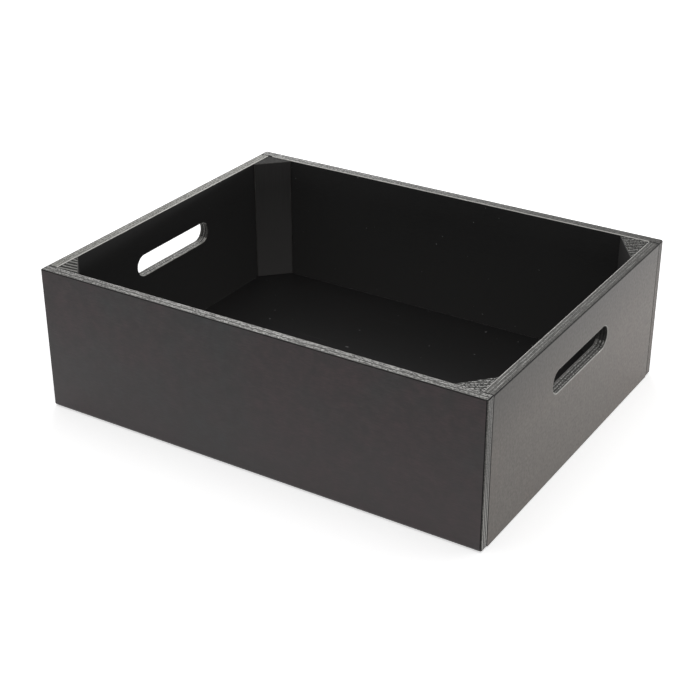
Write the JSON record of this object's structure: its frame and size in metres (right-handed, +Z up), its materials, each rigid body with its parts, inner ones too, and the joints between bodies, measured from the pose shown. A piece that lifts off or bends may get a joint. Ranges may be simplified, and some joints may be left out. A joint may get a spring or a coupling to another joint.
{
  "type": "open plywood crate",
  "caption": "Low open-topped crate of dark film-faced plywood with a hand hole in each end, triangular corner posts and an inset base.",
  "frame": {"origin": "middle of the underside, on the surface that the crate stands on", "axes": "+Z up; X along the front and back panels; the front panel faces -Y, and the two hand holes are in the end panels at -X and +X"},
  "size_m": [0.4, 0.315, 0.125],
  "materials": {
    "film_faced_plywood": "black-brown film on both faces with a fine satin grain, light birch plies on the cut edges",
    "base_plywood": "black film, satin",
    "post_wood": "black-stained, matt, with pale end grain on the top",
    "screw_steel": "zinc plated"
  },
  "bodies": {
    "root": {"front_panel": "film_faced_plywood", "back_panel": "film_faced_plywood", "left_panel": "film_faced_plywood", "right_panel": "film_faced_plywood", "base_panel": "base_plywood", "corner_post_front_left": "post_wood", "corner_post_front_right": "post_wood", "corner_post_back_right": "post_wood", "corner_post_back_left": "post_wood", "base_screw_front_left": "screw_steel", "base_screw_front_right": "screw_steel", "base_screw_back_right": "screw_steel", "base_screw_back_left": "screw_steel"}
  },
  "joints": []
}
